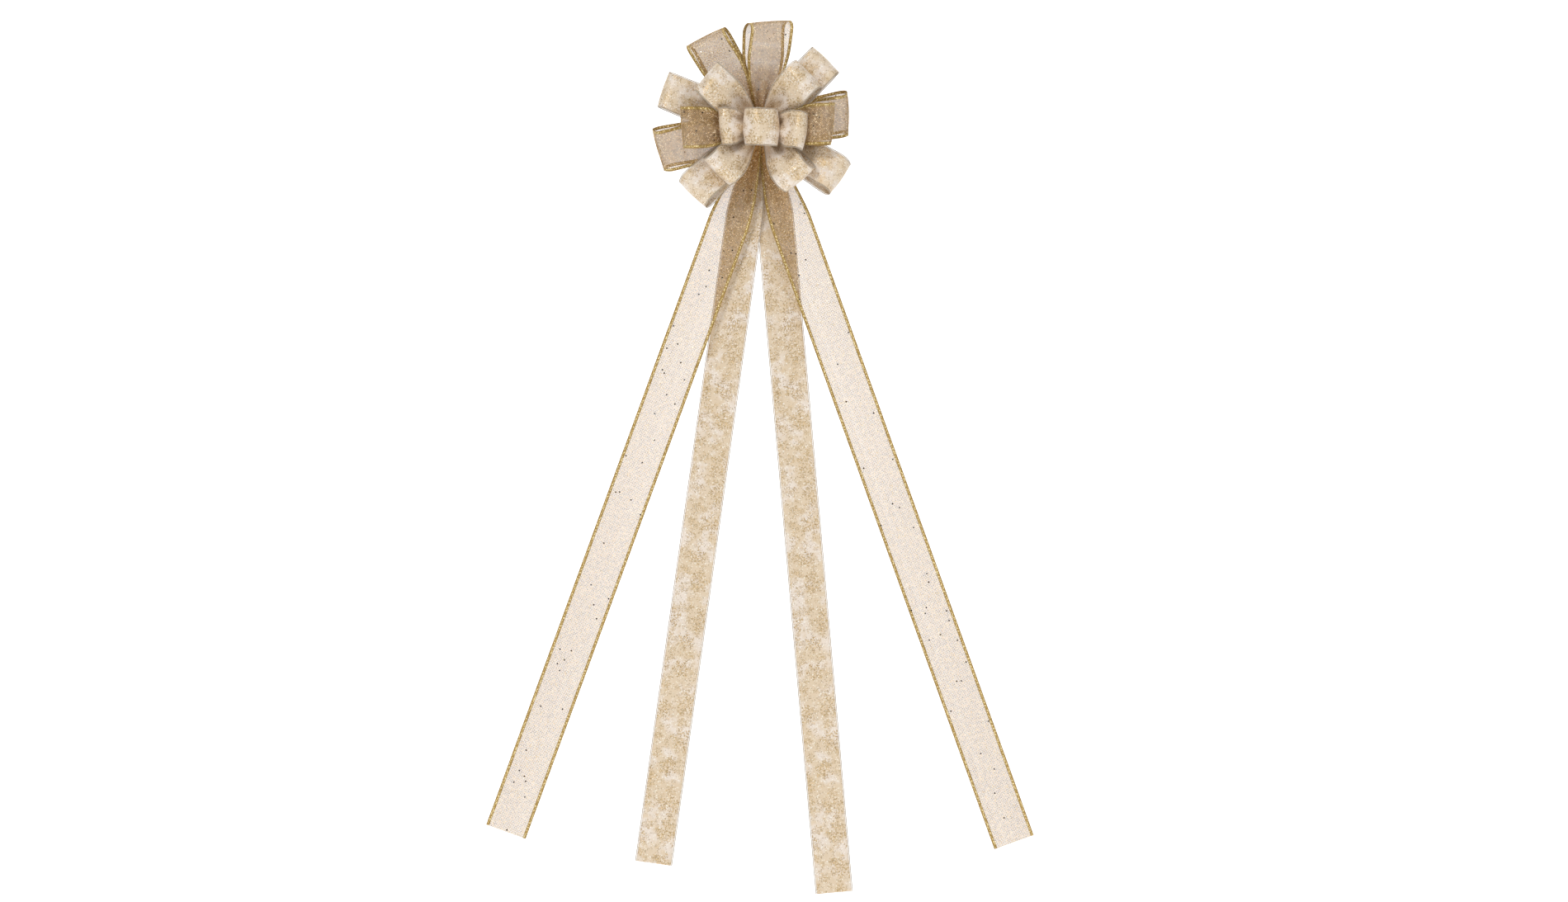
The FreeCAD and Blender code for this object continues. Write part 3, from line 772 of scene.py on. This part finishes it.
# %% Scatter tree
def build_scatter_tree():
    sizes = [("Per square metre", "NodeSocketFloat"), ("Radius", "NodeSocketFloat"),
             ("Thickness", "NodeSocketFloat"), ("Sides", "NodeSocketInt"),
             ("Seed", "NodeSocketInt"), ("Material", "NodeSocketMaterial")]
    group, tree, given = new_geometry_tree("scattered_discs", sizes)
    points = tree.node("GeometryNodeDistributePointsOnFaces",
                       {"Mesh": given["Geometry"], "Density": given["Per square metre"],
                        "Seed": given["Seed"]}, distribute_method="RANDOM")
    disc = tree.node("GeometryNodeMeshCylinder",
                     {"Vertices": given["Sides"], "Radius": given["Radius"],
                      "Depth": given["Thickness"]})
    draw = tree.node("FunctionNodeRandomValue", data_type="FLOAT_VECTOR")
    draw.inputs[0].default_value = (-0.25, -0.25, 0)
    draw.inputs[1].default_value = (0.25, 0.25, 6.28)
    tree.tree.links.new(given["Seed"], draw.inputs["Seed"])
    tilt = tree.node("FunctionNodeEulerToRotation", {0: draw.outputs[0]})
    turned = tree.node("FunctionNodeRotateRotation",
                       {0: points.outputs["Rotation"], 1: tilt.outputs[0]},
                       rotation_space="LOCAL")
    laid = tree.node("GeometryNodeInstanceOnPoints",
                     {"Points": points.outputs["Points"], "Instance": disc.outputs[0],
                      "Rotation": turned.outputs[0]})
    end_geometry_tree(tree, laid.outputs[0], given["Material"])
    return group


SCATTER_TREE = build_scatter_tree()

# %% [markdown]
# ## Geometry Nodes: covered wires
#
# A wired edge is a wire with thread wound round it. The tree sweeps a circle along the
# edge's line, and stores how far along and how far round each point is, so that the
# thread's ribs can follow the wire.


# %% Wire tree
def build_wire_tree():
    sizes = [("Radius", "NodeSocketFloat"), ("Material", "NodeSocketMaterial")]
    group, tree, given = new_geometry_tree("covered_wire", sizes)
    curve = tree.node("GeometryNodeMeshToCurve", {"Mesh": given["Geometry"]})
    spline = tree.node("GeometryNodeSplineParameter")
    marked = tree.node("GeometryNodeStoreNamedAttribute",
                       {"Geometry": curve.outputs[0], "Name": "along",
                        "Value": spline.outputs["Length"]},
                       data_type="FLOAT", domain="POINT")
    circle = tree.node("GeometryNodeCurvePrimitiveCircle",
                       {"Resolution": 8, "Radius": given["Radius"]}, mode="RADIUS")
    ring = tree.node("GeometryNodeSplineParameter")
    turn = tree.math("MULTIPLY", ring.outputs["Factor"], 2 * math.pi)
    rounded = tree.node("GeometryNodeStoreNamedAttribute",
                        {"Geometry": circle.outputs[0], "Name": "turn", "Value": turn},
                        data_type="FLOAT", domain="POINT")
    swept = tree.node("GeometryNodeCurveToMesh",
                      {"Curve": marked.outputs[0], "Profile Curve": rounded.outputs[0],
                       "Fill Caps": True})
    end_geometry_tree(tree, swept.outputs[0], given["Material"])
    return group


WIRE_TREE = build_wire_tree()


def wire_along(name, lines, radius, material):
    """One piece of covered wire for each line of points."""
    points = np.concatenate(lines)
    edges, first = [], 0
    for line in lines:
        edges += [(first + i, first + i + 1) for i in range(len(line) - 1)]
        first += len(line)
    mesh = bpy.data.meshes.new(name)
    mesh.from_pydata(points.tolist(), edges, [])
    piece = run_tree(new_piece(name, mesh), WIRE_TREE,
                     {"Radius": radius, "Material": material})
    piece.data.shade_smooth()
    return piece


# %% [markdown]
# ## Making a ribbon
#
# Every ribbon length is made the same way from its surface: the web between the edges,
# the edges, and on the mesh ribbon the net, sequins and glitter. The pieces are returned
# together so that they can ride on the same body.


# %% Ribbon maker
def ribbon_half_web(ribbon):
    edge = GOLD_EDGE if ribbon == "mesh" else CREAM_EDGE
    return 1 - edge / (RIBBON_WIDTH[ribbon] / 2)


def cloth_piece(name, ribbon, surface, along, material):
    limit = ribbon_half_web(ribbon) + 0.004
    across = np.linspace(-limit, limit, CLOTH_COLUMNS)
    mesh = grid_mesh(name, surface(across), along, across * RIBBON_WIDTH[ribbon] / 2)
    mesh.materials.append(material)
    return new_piece(name, mesh)


def thicken(piece, thickness):
    modifier = piece.modifiers.new("thickness", "SOLIDIFY")
    modifier.thickness = thickness
    modifier.offset = 0
    return applied(piece)


def band_piece(name, surface, along):
    """The two flat gold selvedges, each a thin strip."""
    strips = []
    for side in (-1, 1):
        across = side * np.linspace(ribbon_half_web("mesh"), 0.985, 5)
        strips.append(grid_mesh(f"{name}_{side}", surface(across), along,
                                across * RIBBON_WIDTH["mesh"] / 2))
    pieces = [new_piece(f"{name}_{i}", mesh) for i, mesh in enumerate(strips)]
    for piece in pieces:
        piece.data.materials.append(GOLD_BAND)
    return joined(name, [thicken(piece, BAND_THICKNESS) for piece in pieces])


def joined(name, pieces):
    with bpy.context.temp_override(active_object=pieces[0], object=pieces[0],
                                   selected_objects=pieces,
                                   selected_editable_objects=pieces):
        bpy.ops.object.join()
    pieces[0].name = name
    return pieces[0]


def edge_piece(name, ribbon, surface, along):
    outer = [surface([side * 0.99])[:, 0] for side in (-1, 1)]
    if ribbon == "snow":
        return wire_along(f"{name}_covered_edges", outer, 0.55 * MM, CREAM_THREAD)
    inner = [surface([side * ribbon_half_web("mesh")])[:, 0] for side in (-1, 1)]
    band = band_piece(f"{name}_band", surface, along)
    wires = wire_along(f"{name}_wires", outer, 0.6 * MM, GOLD_THREAD)
    cords = wire_along(f"{name}_cords", inner, 0.4 * MM, GOLD_THREAD)
    return joined(f"{name}_gold_edges", [band, wires, cords])


def copy_of(piece, name):
    return new_piece(name, piece.data.copy())


def net_pieces(name, film, along, seed):
    """The net, sequins and glitter that lie on a sheer film."""
    width = (ribbon_half_web("mesh") + 0.003) * RIBBON_WIDTH["mesh"]
    net = run_tree(copy_of(film, f"{name}_net"), NET_TREE, {
        "Length": float(along[-1]), "Width": width, "Pitch": NET_PITCH,
        "Strand": STRAND_RADIUS, "Material": NET_STRAND})
    sequins = run_tree(copy_of(film, f"{name}_sequins"), SCATTER_TREE, {
        "Per square metre": 750.0, "Radius": 1.15 * MM, "Thickness": 0.8 * MM,
        "Sides": 8, "Seed": seed, "Material": SEQUIN})
    glitter = run_tree(copy_of(film, f"{name}_glitter"), SCATTER_TREE, {
        "Per square metre": 42000.0, "Radius": 0.62 * MM, "Thickness": 0.75 * MM,
        "Sides": 5, "Seed": seed + 50, "Material": GLITTER})
    return [net, sequins, glitter]


def make_ribbon(name, ribbon, surface, along, body, nodes, seed):
    """Makes a ribbon length's pieces, which ride on their body, and returns how many."""
    if ribbon == "mesh":
        web = cloth_piece(f"{name}_film", ribbon, surface, along, SHEER_FILM)
        extras = net_pieces(name, web, along, seed)
    else:
        web = cloth_piece(f"{name}_cloth", ribbon, surface, along, SNOW_CLOTH)
        web = thicken(web, SNOW_CLOTH_THICKNESS)
        extras = []
    edges = edge_piece(name, ribbon, surface, along)
    for piece in [web, edges] + extras:
        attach(piece, body)
    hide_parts(nodes[0])
    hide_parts(nodes[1])
    return 2 + len(extras)


# %% [markdown]
# ## The loops
#
# Seventeen loops in five layers. Nothing moves between them, so all ride on the root.


# %% Make the loops
def make_loops():
    made = 0
    for seed, name in enumerate(LOOPS, start=1):
        ribbon = LOOPS[name][0]
        surface, along = loop_surface(name)
        made += make_ribbon(f"{name}_loop", ribbon, surface, along, "root",
                            (f"{name}_loop_web", f"{name}_loop_edges"),
                            seed)
        print(name, "ribbon length", round(along[-1] * 1000), "mm")
    return made


print(make_loops(), "loop pieces")

# %% [markdown]
# ## The tails
#
# Each tail rides on its own body, which turns about the twisted shank of the tie.


# %% Make the tails
def make_tails():
    made = 0
    for seed, name in enumerate(TAILS, start=31):
        surface, along = tail_surface(name)
        made += make_ribbon(name, TAILS[name][0], surface, along, name,
                            (f"{name}_web", f"{name}_edges"), seed)
        print(name, "ribbon length", round(along[-1] * 1000), "mm")
    return made


print(make_tails(), "tail pieces")

# %% [markdown]
# ## The waist and the tie
#
# The waist is the gathered middles of all the ribbons. Its design solid is a smooth
# bundle, so a pleated one stands for it. The tie is two strands of soft gilt wire twisted
# together behind the waist.


# %% Waist
def gathered_cloth():
    material, tree = new_material("gathered_ribbon_middles")
    place = tree.node("ShaderNodeTexCoord").outputs["Object"]
    tone = noise(tree, place, 180.0, 2.0).outputs[0]
    shader = tree.node("ShaderNodeBsdfPrincipled", {
        "Base Color": tree.mix(tone, (0.42, 0.30, 0.18), (0.80, 0.68, 0.52)),
        "Roughness": 0.55, "Sheen Weight": 0.3,
        "Normal": bumped(tree, tone, 0.4, 0.0005)})
    finish_material(tree, shader.outputs[0])
    return material


def make_waist():
    low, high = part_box("gathered_waist")
    radius, length = (high.x - low.x) / 2, high.y - low.y
    around, steps = 96, 40
    turn = np.linspace(0, 2 * math.pi, around, endpoint=False)
    points = []
    for i in range(steps + 1):
        share = i / steps
        y = low.y + length * share
        into = min(1.0, (share * length) / radius)
        size = radius * math.sqrt(max(0.0, 1 - (1 - into) ** 2))
        folds = 0.94 + 0.06 * np.sin(17 * turn + 2.0 * share)
        ring = np.stack([size * folds * np.cos(turn), np.full(around, y),
                         size * folds * np.sin(turn)], axis=-1)
        points.append(ring)
    points = np.concatenate(points)
    faces = []
    for i in range(steps):
        for j in range(around):
            k = (j + 1) % around
            faces.append((i * around + j, i * around + k,
                          (i + 1) * around + k, (i + 1) * around + j))
    faces.append(tuple(reversed(range(steps * around, (steps + 1) * around))))
    mesh = bpy.data.meshes.new("waist_bundle")
    mesh.from_pydata(points.tolist(), [], faces)
    mesh.materials.append(gathered_cloth())
    piece = new_piece("waist_bundle", mesh)
    fix_mesh(piece)
    return piece


def fix_mesh(piece):
    """Merges doubled points and turns every face outwards."""
    work = bmesh.new()
    work.from_mesh(piece.data)
    bmesh.ops.remove_doubles(work, verts=work.verts, dist=1e-6)
    bmesh.ops.recalc_face_normals(work, faces=work.faces)
    work.to_mesh(piece.data)
    work.free()
    piece.data.shade_smooth()


waist = make_waist()
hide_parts("gathered_waist")
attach(waist, "root")
for node_name in ("tie_wire", "tie_leg_left", "tie_leg_right"):
    design_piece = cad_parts[node_name]
    design_piece.data.materials.clear()
    design_piece.data.materials.append(TIE_WIRE)
print("waist and tie done")

# %% [markdown]
# ## Floor, backdrop, light and camera
#
# The bow hangs free in front of a white sweep, which is clear from behind. Large soft
# lights come from the front and upper left, so that the loops shade each other and the
# tails stay bright. A long lens keeps the ribbons' proportions.


# %% Stage
def plain_white():
    """White from the bow's side. From behind it is clear, so the bow's back can be seen."""
    material, tree = new_material("white_sweep")
    place = tree.node("ShaderNodeTexCoord").outputs["Object"]
    tone = noise(tree, place, 3.0).outputs[0]
    white = tree.node("ShaderNodeBsdfPrincipled", {
        "Base Color": tree.mix(tone, (0.93, 0.93, 0.93), (0.96, 0.96, 0.96)),
        "Roughness": 0.9, "Emission Color": (1, 1, 1, 1), "Emission Strength": 0.4})
    behind = tree.node("ShaderNodeNewGeometry").outputs["Backfacing"]
    clear = tree.node("ShaderNodeBsdfTransparent")
    shader = tree.node("ShaderNodeMixShader", {0: behind, 1: white.outputs[0],
                                               2: clear.outputs[0]})
    finish_material(tree, shader.outputs[0])
    return material


def make_sweep():
    """A floor that curves up into a wall behind the bow."""
    floor, wall, bend = cad_low.z - 0.06, 1.6, 0.7
    outline = [(-4.0, floor), (wall - bend, floor)]
    for i in range(1, 16):
        turn = math.pi / 2 * i / 16
        outline.append((wall - bend + bend * math.sin(turn),
                        floor + bend - bend * math.cos(turn)))
    outline += [(wall, floor + bend), (wall, 4.0)]
    points = [(x, y, z) for x in (-5, 5) for y, z in outline]
    count = len(outline)
    faces = [(i, count + i, count + i + 1, i + 1) for i in range(count - 1)]
    mesh = bpy.data.meshes.new("sweep")
    mesh.from_pydata(points, [], faces)
    mesh.materials.append(plain_white())
    mesh.shade_smooth()
    piece = new_piece("sweep", mesh)
    return piece


def area_light(name, place, aim, size, power, colour=(1, 1, 1)):
    data = bpy.data.lights.new(name, "AREA")
    data.shape = "DISK"
    data.size = size
    data.energy = power
    data.color = colour
    light = bpy.data.objects.new(name, data)
    light.location = place
    light.rotation_euler = (Vector(aim) - Vector(place)).to_track_quat("-Z", "Y").to_euler()
    bpy.context.scene.collection.objects.link(light)


def make_lights():
    world = bpy.data.worlds.new("studio")
    world.use_nodes = True
    world.node_tree.nodes["Background"].inputs[0].default_value = (1, 1, 1, 1)
    world.node_tree.nodes["Background"].inputs[1].default_value = 0.37
    bpy.context.scene.world = world
    area_light("key", (-1.4, -2.8, 1.4), (0, 0, -0.4), 1.0, 37)
    area_light("fill", (2.2, -2.4, 0.3), (0, 0, -0.6), 1.8, 13)
    area_light("wall_wash", (0, -0.3, 2.6), (0, 1.6, -0.4), 2.4, 20)


def make_camera():
    middle = (cad_low + cad_high) / 2
    data = bpy.data.cameras.new("camera")
    data.lens, data.sensor_width = 85, 36
    frame_width = (cad_high.z - cad_low.z) * 1.796
    away = frame_width * data.lens / data.sensor_width
    camera = bpy.data.objects.new("camera", data)
    camera.location = (middle.x + 0.032, -away, middle.z + 0.0105)
    camera.rotation_euler = (math.radians(90), 0, 0)
    data.dof.use_dof = False
    bpy.context.scene.collection.objects.link(camera)
    bpy.context.scene.camera = camera


make_sweep()
make_lights()
make_camera()
bpy.context.scene.view_settings.view_transform = "Standard"
print("stage ready")
